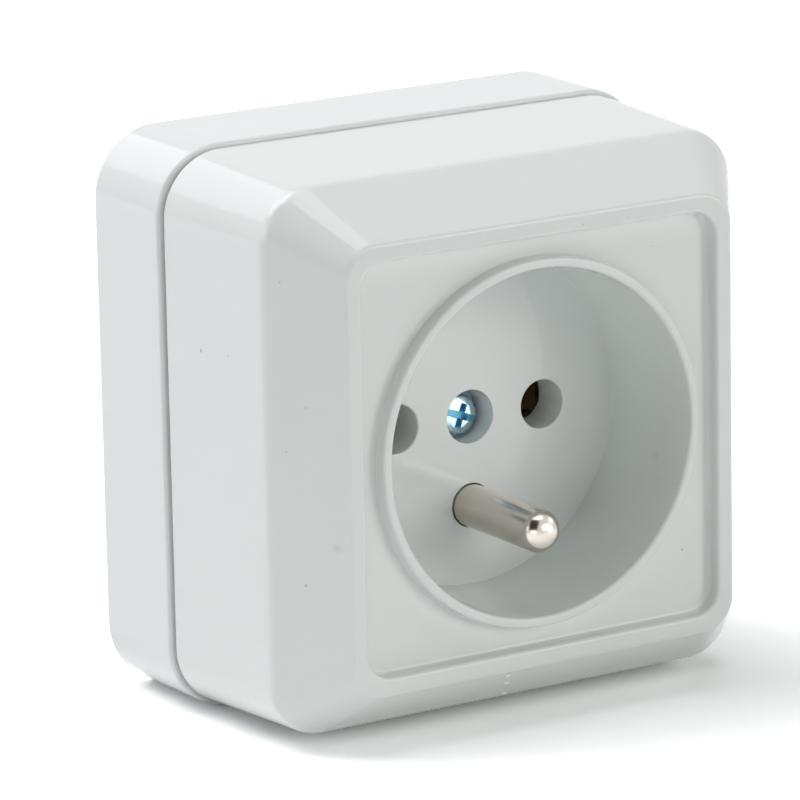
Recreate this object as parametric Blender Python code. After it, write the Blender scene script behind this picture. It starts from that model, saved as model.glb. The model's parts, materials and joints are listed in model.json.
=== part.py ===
"""Surface-mounted socket outlet with an earth pin.

A shallow rear box is screwed to the wall. A moulded cover with a deep round well closes it, held by one
screw in the floor of the well. The contacts, terminals and the earth pin sit on a carrier between the two.
Units are metres. +Z is up, +X is right and the front faces -Y. The origin is the middle of the back face,
in the plane of the wall. A depth is the distance of a plane from the wall, so its Y is minus the depth.
"""
import math

import bmesh
import bpy
import numpy as np
from mathutils import Matrix, Vector

# Clearances
FIT_GAP = 0.0003
MOULD_GAP = 0.0004
SPRING_GAP = 0.00035

# Rear box
BODY_W = 0.0634
BOX_D = 0.0142
BOX_R = 0.0077
BOX_DRAFT = 0.0001
BOX_WALL = 0.0021
BACK_T = 0.0020
BACK_CHAMFER_X = 0.00045
BACK_CHAMFER_Y = 0.0009
LIP_FILLET = 0.00045
TONGUE_T = 0.0012
TONGUE_H = 0.0024
LEDGE_T = 0.0020

# Cover
COVER_STEP = 0.0005
COVER_DRAFT = 0.00095
COVER_WALL = 0.0020
SHOULDER_D = 0.0334
SHOULDER_R = 0.0062
SHOULDER_FILLET = 0.0022
RIM_W = 0.0493
RIM_R = 0.0038
RIM_FILLET = 0.0007
BODY_D = 0.0413
EDGE_FILLET = 0.0003
PANEL_W = 0.0455
PANEL_R = 0.0029
PANEL_SINK = 0.0016
PANEL_T = 0.0020
PANEL_EDGE_FILLET = 0.0004
PANEL_ROOT_FILLET = 0.0005

# Well and its raised bead
WELL_D = 0.0386
WELL_DEPTH = 0.0147
WELL_DRAFT = 0.0004
WELL_FILLET = 0.0013
CUP_WALL = 0.0018
FLOOR_T = 0.0020
BEAD_W = 0.0011
BEAD_FLARE = 0.0002
BEAD_FILLET = 0.0004
BEAD_ROOT_FILLET = 0.0005

# Holes in the floor of the well
PIN_PITCH = 0.0190
HOLE_D = 0.0055
HOLE_MOUTH = 0.0002
COLLAR_WALL = 0.0013
COLLAR_L = 0.0047
EARTH_DROP = 0.0100

# Cover screw
HEAD_D = 0.0050
HEAD_H = 0.0019
HEAD_ROOM = 0.00055
HEAD_SINK = 0.00185
SEAT_T = 0.0014
SHANK_D = 0.0034
SHANK_L = 0.0098
SLOT_W = 0.0008
SLOT_DEPTH = 0.0007
CROSS_L = 0.0031
CROSS_W = 0.0009
CROSS_DEPTH = 0.0012
INSERT_WALL = 0.0011
INSERT_L = 0.0062

# Carrier
CARRIER_STANDOFF = 0.0022
PLATE_T = 0.0022
PLATE_SIDE = 0.0004
PLATE_H = 0.0262
PLATE_R = 0.0020
TAB_W = 0.0150
TAB_EDGE = 0.0010
CHAMBER_WALL = 0.0011
POST_WALL = 0.0013
FIN_T = 0.0012
FIN_H = 0.0060

# Contact clips
CLIP_T = 0.0006
CLIP_STRIP_W = 0.0048
CLIP_BASE = 0.0058
CLIP_WAIST = 0.0045
CLIP_MOUTH = 0.0060
CLIP_BEND = 0.0040
CLIP_LIP = 0.0026
SPRING_T = 0.0004
SPRING_STRIP_W = 0.0036
SPRING_BEND = 0.0008

# Terminals
BLOCK_W = 0.0060
BLOCK_L = 0.0070
BLOCK_H = 0.0068
BLOCK_BEVEL = 0.0003
WIRE_D = 0.0030
TERM_SHANK_D = 0.0028
TERM_SHANK_L = 0.0052
TERM_HEAD_D = 0.0046
TERM_HEAD_H = 0.0019
WASHER_W = 0.0052
WASHER_T = 0.0007

# Earth pin and strap
PIN_D = 0.00475
PIN_OUT = 0.0154
PIN_DOME = 0.0019
PIN_COLLAR_D = 0.0070
PIN_COLLAR_T = 0.0016
RIVET_D = 0.0030
RIVET_HEAD_D = 0.0046
RIVET_HEAD_T = 0.0007
STRAP_T = 0.0010
STRAP_W = 0.0090
EARTH_WALL_GAP = 0.0020

# Carrier screws and their posts in the rear box
FIXING_DROP = 0.0096
FIXING_SHANK_D = 0.0027
FIXING_SHANK_L = 0.0052
FIXING_HEAD_D = 0.0050
FIXING_HEAD_H = 0.0018
FIXING_POST_WALL = 0.0018
RIB_T = 0.0014
RIB_W = 0.0300
RIB_UP = 0.0112

# Openings in the back wall
SLOT_HOLE_W = 0.0046
SLOT_HOLE_L = 0.0086
SLOT_PITCH = 0.0380
SLOT_UP = 0.0190
CABLE_D = 0.0130
CABLE_UP = 0.0200

# Facets
CORNER_STEPS = 9
SIDE_POINTS = 8
FILLET_STEPS = 3
ROUND_STEPS = 24

# Sizes that follow from the ones above
BOX_HALF = BODY_W / 2
LIP_HALF = BOX_HALF - BOX_DRAFT
COVER_HALF = LIP_HALF - COVER_STEP
COVER_R = BOX_R - COVER_STEP
SHOULDER_HALF = COVER_HALF - COVER_DRAFT
RIM_HALF = RIM_W / 2
PANEL_HALF = PANEL_W / 2
COVER_BACK = BOX_D + FIT_GAP
PANEL_D = BODY_D - PANEL_SINK
PANEL_BACK = PANEL_D - PANEL_T
TONGUE_HALF = COVER_HALF - COVER_WALL - FIT_GAP
WELL_R = WELL_D / 2
FLOOR_D = BODY_D - WELL_DEPTH
FLOOR_R = WELL_R - WELL_DRAFT
FLOOR_BACK = FLOOR_D - FLOOR_T
CUP_R = WELL_R + CUP_WALL
HOLE_X = PIN_PITCH / 2
EARTH_HOLE_R = PIN_D / 2 + FIT_GAP
HEAD_TOP = FLOOR_D - HEAD_SINK
SEAT_D = HEAD_TOP - HEAD_H - FIT_GAP
SEAT_BACK = SEAT_D - SEAT_T
COLLAR_END = FLOOR_D - COLLAR_L
RECESS_R = HEAD_D / 2 + HEAD_ROOM
CARRIER_BACK = BACK_T + CARRIER_STANDOFF
PLATE_FRONT = CARRIER_BACK + PLATE_T
CLIP_DEPTH = PLATE_FRONT + FIT_GAP
STRIP_FRONT = CLIP_DEPTH + CLIP_T
CHAMBER_FRONT = min(COLLAR_END, SEAT_BACK) - MOULD_GAP
CLIP_FRONT = CHAMBER_FRONT - FIT_GAP
POCKET_HALF = CLIP_BASE / 2 + CLIP_T + SPRING_GAP + SPRING_T + MOULD_GAP
POCKET_HIGH = CLIP_STRIP_W / 2 + SPRING_GAP + SPRING_T + MOULD_GAP
CHAMBER_HALF = POCKET_HALF + CHAMBER_WALL
CHAMBER_HIGH = POCKET_HIGH + CHAMBER_WALL
POST_FRONT = SEAT_BACK - MOULD_GAP
INSERT_FRONT = POST_FRONT
INSERT_R = SHANK_D / 2 + FIT_GAP + INSERT_WALL
POST_R = INSERT_R + FIT_GAP + POST_WALL
BLOCK_X = HOLE_X + CHAMBER_HALF + MOULD_GAP + BLOCK_W / 2
BLOCK_BACK = STRIP_FRONT + FIT_GAP
BLOCK_FRONT = BLOCK_BACK + BLOCK_H
WASHER_BACK = BLOCK_FRONT + FIT_GAP
TERM_SEAT = WASHER_BACK + WASHER_T + FIT_GAP
FIN_X = BLOCK_X + BLOCK_W / 2 + MOULD_GAP
PLATE_HALF = FIN_X + FIN_T + PLATE_SIDE
PLATE_TOP = PLATE_H / 2
EARTH_Z = -EARTH_DROP
EARTH_BLOCK_Z = BOX_WALL + EARTH_WALL_GAP + BLOCK_L / 2 - BOX_HALF
TAB_BOTTOM = EARTH_BLOCK_Z - BLOCK_L / 2 - TAB_EDGE
STRAP_BACK = PLATE_FRONT + FIT_GAP
STRAP_FRONT = STRAP_BACK + STRAP_T
EARTH_BLOCK_BACK = STRAP_FRONT + FIT_GAP
FIXING_SEAT = PLATE_FRONT + FIT_GAP
FIXING_HOLE_R = FIXING_SHANK_D / 2 + FIT_GAP
FIXING_POST_R = FIXING_HOLE_R + FIXING_POST_WALL

WHITE = (0.83, 0.84, 0.83)
IVORY = (0.72, 0.71, 0.66)
BRASS = (0.72, 0.55, 0.26)
NICKEL = (0.66, 0.62, 0.55)
ZINC = (0.62, 0.68, 0.76)
STEEL = (0.55, 0.56, 0.58)


def material(name, colour, roughness, metallic):
    """One Principled material with a part's own colour, roughness and metallic value."""
    made = bpy.data.materials.new(name)
    made.use_nodes = True
    shader = made.node_tree.nodes["Principled BSDF"]
    shader.inputs["Base Color"].default_value = (*colour, 1.0)
    shader.inputs["Roughness"].default_value = roughness
    shader.inputs["Metallic"].default_value = metallic
    made.diffuse_color = (*colour, 1.0)
    return made


def finish(name, shape, look, at=(0.0, 0.0)):
    """Turn a closed bmesh into a named object at (x, z), with its faces outwards."""
    bmesh.ops.recalc_face_normals(shape, faces=shape.faces)
    mesh = bpy.data.meshes.new(name)
    shape.to_mesh(mesh)
    shape.free()
    mesh.shade_smooth()
    mesh.set_sharp_from_angle(angle=math.radians(28))
    part = bpy.data.objects.new(name, mesh)
    part.location = (at[0], 0.0, at[1])
    bpy.context.scene.collection.objects.link(part)
    if look is not None:
        mesh.materials.append(look)
    else:
        part.hide_render = True
        part.display_type = "WIRE"
    return part


def filleted(corners, steps=FILLET_STEPS):
    """Path through (a, b, radius) corners, with an arc of that radius at each inner corner."""
    path = []
    for i, (a, b, radius) in enumerate(corners):
        here = Vector((a, b))
        if radius == 0:
            path.append(here)
            continue
        back = (Vector(corners[i - 1][:2]) - here).normalized()
        ahead = (Vector(corners[i + 1][:2]) - here).normalized()
        half_angle = back.angle(ahead) / 2
        centre = here + (back + ahead).normalized() * radius / math.sin(half_angle)
        start = here + back * radius / math.tan(half_angle) - centre
        end = here + ahead * radius / math.tan(half_angle) - centre
        sweep = math.copysign(math.pi - 2 * half_angle, start.cross(end))
        for k in range(steps + 1):
            path.append(centre + Matrix.Rotation(sweep * k / steps, 2) @ start)
    return path


def offset_path(path, distance):
    """Open path moved sideways by a distance, to its left, with mitred corners."""
    moved = []
    for i, here in enumerate(path):
        sides = []
        for a, b in ((i - 1, i), (i, i + 1)):
            if 0 <= a and b < len(path):
                run = (path[b] - path[a]).normalized()
                sides.append(Vector((-run.y, run.x)))
        mitre = sum(sides, Vector((0, 0))).normalized()
        moved.append(here + mitre * distance / mitre.dot(sides[0]))
    return moved


def square_loop(half, radius, depth):
    """Rounded square around the Y axis, with points on its corners and along its sides."""
    points = []
    inner = half - radius
    for quarter in range(4):
        turn = Matrix.Rotation(quarter * math.pi / 2, 2)
        flat = []
        for k in range(CORNER_STEPS + 1):
            angle = math.pi / 2 * k / CORNER_STEPS
            flat.append(Vector((inner + radius * math.cos(angle), inner + radius * math.sin(angle))))
        for k in range(1, SIDE_POINTS + 1):
            flat.append(Vector((inner - 2 * inner * k / (SIDE_POINTS + 1), half)))
        for point in flat:
            x, z = turn @ point
            points.append(Vector((x, -depth, z)))
    return points


def circle_loop(radius, depth):
    """Circle around the Y axis with as many points as a square loop, lined up with its corners."""
    count = 4 * (CORNER_STEPS + 1 + SIDE_POINTS)
    points = []
    for k in range(count):
        angle = math.pi / 4 + (k - CORNER_STEPS / 2) * 2 * math.pi / count
        points.append(Vector((radius * math.cos(angle), -depth, radius * math.sin(angle))))
    return points


def skin(name, loops, look):
    """Closed body through a chain of loops, capped at its first and last loop."""
    shape = bmesh.new()
    rings = [[shape.verts.new(point) for point in loop] for loop in loops]
    for near, far in zip(rings, rings[1:]):
        for k, vertex in enumerate(near):
            shape.faces.new((near[k - 1], vertex, far[k], far[k - 1]))
    shape.faces.new(rings[0])
    shape.faces.new(rings[-1])
    return finish(name, shape, look)


def turned(name, profile, look, at=(0.0, 0.0), steps=ROUND_STEPS):
    """Solid of revolution about a line along Y, from (radius, depth) points that start and end on it."""
    shape = bmesh.new()
    verts = [shape.verts.new((radius, -depth, 0.0)) for radius, depth in profile]
    edges = [shape.edges.new(pair) for pair in zip(verts, verts[1:])]
    if profile[0][0] > 0:
        edges.append(shape.edges.new((verts[-1], verts[0])))
    bmesh.ops.spin(shape, geom=verts + edges, axis=(0, 1, 0), cent=(0, 0, 0), steps=steps, angle=2 * math.pi)
    bmesh.ops.remove_doubles(shape, verts=shape.verts, dist=0.000001)
    return finish(name, shape, look, at)


def rod(name, radius, back, front, look=None, at=(0.0, 0.0), steps=ROUND_STEPS):
    """Plain cylinder between two depths."""
    return turned(name, [(0, back), (radius, back), (radius, front), (0, front)], look, at, steps)


def prism(name, outline, back, front, look=None, at=(0.0, 0.0)):
    """Flat outline in (x, z), extruded between two depths."""
    shape = bmesh.new()
    face = shape.faces.new([shape.verts.new((x, -back, z)) for x, z in outline])
    made = bmesh.ops.extrude_face_region(shape, geom=[face])["geom"]
    moved = [item for item in made if isinstance(item, bmesh.types.BMVert)]
    bmesh.ops.translate(shape, verts=moved, vec=(0, back - front, 0))
    return finish(name, shape, look, at)


def box(name, width, height, back, front, look=None, at=(0.0, 0.0), bevel=0.0):
    """Block of a width along X and a height along Z, between two depths."""
    x, z = width / 2, height / 2
    made = prism(name, [(-x, -z), (x, -z), (x, z), (-x, z)], back, front, look, at)
    if bevel > 0:
        edge = made.modifiers.new("edges", "BEVEL")
        edge.width = bevel
        edge.segments = 1
    return made


def rounded_rectangle(width, height, radius, steps=4):
    """Outline of a rectangle with round corners, in (x, z)."""
    outline = []
    for sx, sz, first in ((1, 1, 0), (-1, 1, 1), (-1, -1, 2), (1, -1, 3)):
        for k in range(steps + 1):
            angle = math.pi / 2 * (first + k / steps)
            x = sx * (width / 2 - radius) + radius * math.cos(angle)
            z = sz * (height / 2 - radius) + radius * math.sin(angle)
            outline.append((x, z))
    return outline


def ribbon(name, path, thickness, width, look=None, at=(0.0, 0.0)):
    """Bent strip: a centre line in (x, depth), given a thickness and a width along Z."""
    outline = offset_path(path, thickness / 2) + offset_path(path, -thickness / 2)[::-1]
    shape = bmesh.new()
    face = shape.faces.new([shape.verts.new((x, -depth, -width / 2)) for x, depth in outline])
    made = bmesh.ops.extrude_face_region(shape, geom=[face])["geom"]
    moved = [item for item in made if isinstance(item, bmesh.types.BMVert)]
    bmesh.ops.translate(shape, verts=moved, vec=(0, 0, width))
    return finish(name, shape, look, at)


def combine(part, tools, operation):
    """Exact Booleans of a part with tools that are left out of the build, one after another.

    Faces with five corners or more are split before each one, which keeps the result closed.
    """
    for tool in tools:
        split = part.modifiers.new(f"split_for_{tool.name}", "TRIANGULATE")
        split.min_vertices = 5
        step = part.modifiers.new(tool.name, "BOOLEAN")
        step.operation = operation
        step.solver = "EXACT"
        step.object = tool


def cut(part, *tools):
    combine(part, tools, "DIFFERENCE")


def join(part, *tools):
    combine(part, tools, "UNION")


def rear_box(look):
    """Shallow box: back wall, side walls with a lip proud of the cover, and the tongue that enters it."""
    inner = BOX_HALF - BOX_WALL
    tongue_in = TONGUE_HALF - TONGUE_T
    path = filleted([
        (BOX_HALF - BACK_CHAMFER_X, 0.0, 0),
        (BOX_HALF, BACK_CHAMFER_Y, 0),
        (LIP_HALF, BOX_D, LIP_FILLET),
        (TONGUE_HALF, BOX_D, 0),
        (TONGUE_HALF, BOX_D + TONGUE_H, 0),
        (tongue_in, BOX_D + TONGUE_H, 0),
        (tongue_in, BOX_D - LEDGE_T, 0),
        (inner, BOX_D - LEDGE_T, 0),
        (inner, BACK_T, 0),
    ])
    loops = []
    for half, depth in path:
        inset = BOX_HALF - half
        loops.append(square_loop(half, max(BOX_R - inset, 0.002), depth))
    body = skin("rear_box", loops, look)

    post_front = CARRIER_BACK - FIT_GAP
    pilot_back = FIXING_SEAT - FIXING_SHANK_L - FIT_GAP
    slot = rounded_rectangle(SLOT_HOLE_L, SLOT_HOLE_W, SLOT_HOLE_W / 2 * 0.999, steps=6)
    added = [box("support_rib", RIB_W, RIB_T, BACK_T / 2, post_front, at=(0.0, RIB_UP))]
    removed = [rod("cable_entry", CABLE_D / 2, -BACK_T, 2 * BACK_T, at=(0.0, CABLE_UP))]
    for side in (-1, 1):
        spot = (side * BLOCK_X, -FIXING_DROP)
        added.append(rod(f"fixing_post_{side}", FIXING_POST_R, BACK_T / 2, post_front, at=spot))
        removed.append(rod(f"pilot_{side}", FIXING_HOLE_R, pilot_back, 2 * post_front, at=spot, steps=16))
        slot_at = (side * SLOT_PITCH / 2, SLOT_UP)
        removed.append(prism(f"wall_slot_{side}", slot, -BACK_T, 2 * BACK_T, at=slot_at))
    join(body, *added)
    cut(body, *removed)
    return body


def front_cover(look):
    """One moulding: side walls, bevel, rim, sunk panel, raised bead and the deep well with its floor."""
    outside = filleted([
        (COVER_HALF - COVER_WALL / 2, COVER_BACK, 0),
        (COVER_HALF, COVER_BACK, EDGE_FILLET),
        (SHOULDER_HALF, SHOULDER_D, SHOULDER_FILLET),
        (RIM_HALF, BODY_D, RIM_FILLET),
        (PANEL_HALF, BODY_D, PANEL_EDGE_FILLET),
        (PANEL_HALF, PANEL_D, PANEL_ROOT_FILLET),
        ((PANEL_HALF + WELL_R) / 2, PANEL_D, 0),
    ])[:-1]
    halves = [PANEL_HALF, RIM_HALF, SHOULDER_HALF, COVER_HALF]
    radii = [PANEL_R, RIM_R, SHOULDER_R, COVER_R]
    loops = []
    for half, depth in outside:
        loops.append(square_loop(half, float(np.interp(half, halves, radii)), depth))

    bead_top = WELL_R + BEAD_W
    well = filleted([
        ((PANEL_HALF + WELL_R) / 2 + BEAD_W, PANEL_D, 0),
        (bead_top + BEAD_FLARE, PANEL_D, BEAD_ROOT_FILLET),
        (bead_top, BODY_D, BEAD_FILLET),
        (WELL_R, BODY_D, BEAD_FILLET),
        (FLOOR_R, FLOOR_D, WELL_FILLET),
        (0.0, FLOOR_D, 0),
    ])[1:-1]
    loops += [circle_loop(radius, depth) for radius, depth in well]

    sides = [Vector((COVER_HALF, COVER_BACK)), Vector((SHOULDER_HALF, SHOULDER_D)), Vector((RIM_HALF, BODY_D))]
    inside = offset_path(sides, COVER_WALL)
    inside[0].y = COVER_BACK
    run = inside[2] - inside[1]
    inside[2] = inside[1] + run * (PANEL_BACK - inside[1].y) / run.y
    hollow = []
    for (half, depth), outer in zip(inside, (COVER_R, SHOULDER_R, RIM_R)):
        hollow.append(square_loop(half, max(outer - COVER_WALL, 0.0015), depth))
    hollow.append(circle_loop(CUP_R, PANEL_BACK))
    hollow.append(circle_loop(CUP_R - WELL_DRAFT, FLOOR_BACK))
    body = skin("front_cover", loops[::-1] + hollow, look)

    root = FLOOR_BACK + FLOOR_T / 2
    ahead = FLOOR_D + FLOOR_T
    behind = COLLAR_END - FLOOR_T
    shank_hole_r = SHANK_D / 2 + FIT_GAP
    added = [
        rod("collar_earth", EARTH_HOLE_R + COLLAR_WALL, COLLAR_END, root, at=(0.0, EARTH_Z)),
        rod("screw_tube", RECESS_R + COLLAR_WALL, SEAT_BACK, root),
    ]
    recess = [
        (0.0, SEAT_BACK - FLOOR_T),
        (shank_hole_r, SEAT_BACK - FLOOR_T),
        (shank_hole_r, SEAT_D),
        (RECESS_R, SEAT_D),
        (RECESS_R, FLOOR_D - HOLE_MOUTH),
        (RECESS_R + HOLE_MOUTH + FLOOR_T, ahead),
        (0.0, ahead),
    ]
    mouth = [
        (0.0, behind),
        (HOLE_D / 2, behind),
        (HOLE_D / 2, FLOOR_D - HOLE_MOUTH),
        (HOLE_D / 2 + HOLE_MOUTH + FLOOR_T, ahead),
        (0.0, ahead),
    ]
    removed = [
        rod("bore_earth", EARTH_HOLE_R, behind, ahead, at=(0.0, EARTH_Z)),
        turned("screw_recess", recess, None),
    ]
    for side in (-1, 1):
        spot = (side * HOLE_X, 0.0)
        added.append(rod(f"collar_{side}", HOLE_D / 2 + COLLAR_WALL, COLLAR_END, root, at=spot))
        removed.append(turned(f"bore_{side}", mouth, None, at=spot))
    join(body, *added)
    cut(body, *removed)
    return body


def carrier(look):
    """Insulating carrier: plate, two contact chambers, insert post and fins beside the terminals."""
    body = prism("carrier", rounded_rectangle(2 * PLATE_HALF, PLATE_H, PLATE_R), CARRIER_BACK, PLATE_FRONT, look)
    tab_top = 2 * PLATE_R - PLATE_TOP
    tab_middle = (tab_top + TAB_BOTTOM) / 2
    tab = rounded_rectangle(TAB_W, tab_top - TAB_BOTTOM, PLATE_R)
    root = PLATE_FRONT - PLATE_T / 2
    behind = CARRIER_BACK - PLATE_T
    ahead = POST_FRONT + PLATE_T
    insert_back = INSERT_FRONT - INSERT_L - FIT_GAP
    screw_end = SEAT_D - SHANK_L - FIT_GAP
    tail_w = BLOCK_X - HOLE_X
    tail_top = STRIP_FRONT + FIT_GAP
    added = [
        prism("earth_tab", tab, CARRIER_BACK, PLATE_FRONT, at=(0.0, tab_middle)),
        rod("insert_post", POST_R, root, POST_FRONT),
    ]
    removed = [
        rod("insert_bore", INSERT_R + FIT_GAP, insert_back, ahead),
        rod("shank_bore", SHANK_D / 2 + FIT_GAP, screw_end, ahead, steps=16),
        rod("rivet_bore", RIVET_D / 2 + FIT_GAP, behind, ahead, at=(0.0, EARTH_Z), steps=16),
    ]
    for side in (-1, 1):
        spot = (side * HOLE_X, 0.0)
        fin_at = (side * (FIN_X + FIN_T / 2), 0.0)
        tail_at = (side * (HOLE_X + tail_w / 2), 0.0)
        fixing_at = (side * BLOCK_X, -FIXING_DROP)
        added.append(box(f"chamber_{side}", 2 * CHAMBER_HALF, 2 * CHAMBER_HIGH, root, CHAMBER_FRONT, at=spot))
        added.append(box(f"fin_{side}", FIN_T, BLOCK_L, root, PLATE_FRONT + FIN_H, at=fin_at))
        removed.append(box(f"pocket_{side}", 2 * POCKET_HALF, 2 * POCKET_HIGH, PLATE_FRONT, ahead, at=spot))
        removed.append(box(f"tail_gate_{side}", tail_w, 2 * POCKET_HIGH, PLATE_FRONT, tail_top, at=tail_at))
        removed.append(rod(f"fixing_hole_{side}", FIXING_HOLE_R, behind, ahead, at=fixing_at, steps=16))
    join(body, *added)
    cut(body, *removed)
    return body


def clip(name, side, look):
    """Sprung contact: two arms that narrow to a waist, and a tail that runs out to the terminal."""
    base = CLIP_BASE / 2 + CLIP_T / 2
    waist = CLIP_WAIST / 2 + CLIP_T / 2
    mouth = CLIP_MOUTH / 2 + CLIP_T / 2
    floor = CLIP_DEPTH + CLIP_T / 2
    right = [
        Vector((base, floor)),
        Vector((base, floor + CLIP_BEND)),
        Vector((waist, CLIP_FRONT - CLIP_LIP)),
        Vector((mouth, CLIP_FRONT)),
    ]
    path = [Vector((-x, depth)) for x, depth in reversed(right)] + right
    made = ribbon(name, path, CLIP_T, CLIP_STRIP_W, look, at=(side * HOLE_X, 0.0))
    reach = BLOCK_X + BLOCK_W / 2 - HOLE_X
    tail = box(f"{name}_tail", reach, CLIP_STRIP_W, CLIP_DEPTH, STRIP_FRONT, at=(side * (HOLE_X + reach / 2), 0.0))
    join(made, tail)
    return made


def clip_spring(name, side, look):
    """Steel backing spring: a band round three sides of the arms, open below."""
    lean = CLIP_BASE / 2 + CLIP_T + SPRING_GAP + SPRING_T / 2
    top = CLIP_STRIP_W / 2 + SPRING_GAP + SPRING_T / 2
    foot = -CLIP_STRIP_W / 2
    start = STRIP_FRONT + MOULD_GAP
    centre = filleted([(-lean, foot, 0), (-lean, top, SPRING_BEND), (lean, top, SPRING_BEND), (lean, foot, 0)])
    outline = offset_path(centre, SPRING_T / 2) + offset_path(centre, -SPRING_T / 2)[::-1]
    return prism(name, outline, start, start + SPRING_STRIP_W, look, at=(side * HOLE_X, 0.0))


def terminal_block(name, at, back, look):
    """Brass block with a cross hole for the wire and a hole for the clamping screw."""
    block = box(name, BLOCK_W, BLOCK_L, back, back + BLOCK_H, look, at=at, bevel=BLOCK_BEVEL)
    wire = rod(f"{name}_wire", WIRE_D / 2, -BLOCK_L, BLOCK_L, steps=16)
    wire.rotation_euler = (math.pi / 2, 0.0, 0.0)
    wire.location = (at[0], -(back + WIRE_D / 2 + CLIP_T), at[1])
    screw_end = back + BLOCK_H + WASHER_T + 2 * FIT_GAP - TERM_SHANK_L - FIT_GAP
    hole = rod(f"{name}_hole", TERM_SHANK_D / 2 + FIT_GAP, screw_end, back + 2 * BLOCK_H, at=at, steps=16)
    cut(block, wire, hole)
    return block


def washer(name, at, back, look):
    """Square clamping washer under a terminal screw's head."""
    plate = box(name, WASHER_W, WASHER_W, back, back + WASHER_T, look, at=at)
    cut(plate, rod(f"{name}_hole", TERM_SHANK_D / 2 + FIT_GAP, back - WASHER_T, back + 2 * WASHER_T, at=at, steps=16))
    return plate


def slotted_screw(name, at, seat, head_d, head_h, shank_d, shank_l, look):
    """Screw with a slightly domed head and one slot, its head resting on a seat at a depth."""
    radius = head_d / 2
    profile = [
        (0.0, seat - shank_l),
        (shank_d / 2 * 0.6, seat - shank_l),
        (shank_d / 2, seat - shank_l + shank_d / 4),
        (shank_d / 2, seat),
        (radius, seat),
        (radius, seat + head_h * 0.6),
        (radius * 0.8, seat + head_h * 0.92),
        (0.0, seat + head_h),
    ]
    made = turned(name, profile, look, at=at, steps=16)
    slot = box(f"{name}_slot", 2 * head_d, SLOT_W, seat + head_h - SLOT_DEPTH, seat + 2 * head_h, at=at)
    cut(made, slot)
    return made


def cover_screw(look):
    """Screw in the floor of the well: low domed head with a slot and a cross in it."""
    radius = HEAD_D / 2
    seat = SEAT_D + FIT_GAP
    profile = filleted([
        (0.0, seat - SHANK_L, 0),
        (SHANK_D / 2 * 0.6, seat - SHANK_L, 0),
        (SHANK_D / 2, seat - SHANK_L + SHANK_D / 4, 0),
        (SHANK_D / 2, seat, 0),
        (radius, seat, 0),
        (radius, HEAD_TOP - HEAD_H * 0.25, HEAD_H * 0.25),
        (radius * 0.5, HEAD_TOP, HEAD_H * 0.4),
        (0.0, HEAD_TOP, 0),
    ])
    made = turned("cover_screw", profile, look)
    ahead = HEAD_TOP + HEAD_H
    tilt = math.radians(20)
    recesses = (("slot", 2 * HEAD_D, SLOT_W, SLOT_DEPTH, 0.0),
                ("cross_a", CROSS_L, CROSS_W, CROSS_DEPTH, 0.0),
                ("cross_b", CROSS_L, CROSS_W, CROSS_DEPTH, math.pi / 2))
    tools = []
    for name, length, width, depth, turn in recesses:
        tool = box(f"driver_{name}", length, width, HEAD_TOP - depth, ahead)
        tool.rotation_euler = (0.0, tilt + turn, 0.0)
        tools.append(tool)
    cut(made, *tools)
    return made


def cover_insert(look):
    """Brass insert that the cover screw is driven into."""
    inner = SHANK_D / 2 + FIT_GAP
    back = INSERT_FRONT - INSERT_L
    profile = [(inner, back), (INSERT_R, back), (INSERT_R, INSERT_FRONT), (inner, INSERT_FRONT)]
    return turned("cover_insert", profile, look)


def earth_pin(look):
    """Turned pin: domed tip, long plain shank, collar on the strap and a riveted foot behind the plate."""
    radius = PIN_D / 2
    tip = FLOOR_D + PIN_OUT
    ball = (radius ** 2 + PIN_DOME ** 2) / (2 * PIN_DOME)
    opening = math.asin(radius / ball)
    foot = CARRIER_BACK - FIT_GAP
    collar = STRAP_FRONT + FIT_GAP
    profile = [
        (0.0, foot - RIVET_HEAD_T),
        (RIVET_HEAD_D / 2, foot - RIVET_HEAD_T),
        (RIVET_HEAD_D / 2, foot),
        (RIVET_D / 2, foot),
        (RIVET_D / 2, collar),
        (PIN_COLLAR_D / 2, collar),
        (PIN_COLLAR_D / 2, collar + PIN_COLLAR_T),
        (radius, collar + PIN_COLLAR_T),
    ]
    dome_steps = 7
    for k in range(dome_steps + 1):
        angle = opening * (1 - k / dome_steps)
        profile.append((ball * math.sin(angle), tip - ball + ball * math.cos(angle)))
    profile[-1] = (0.0, tip)
    return turned("earth_pin", profile, look, at=(0.0, EARTH_Z), steps=32)


def earth_strap(look):
    """Brass strap from the foot of the earth pin down to the earth terminal."""
    top = EARTH_Z + STRAP_W / 2
    bottom = EARTH_BLOCK_Z - BLOCK_L / 2
    outline = rounded_rectangle(STRAP_W, top - bottom, STRAP_W / 4)
    strap = prism("earth_strap", outline, STRAP_BACK, STRAP_FRONT, look, at=(0.0, (top + bottom) / 2))
    cut(strap, rod("strap_hole", RIVET_D / 2 + FIT_GAP, STRAP_BACK - STRAP_T, STRAP_FRONT + STRAP_T,
                   at=(0.0, EARTH_Z), steps=16))
    return strap


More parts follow.
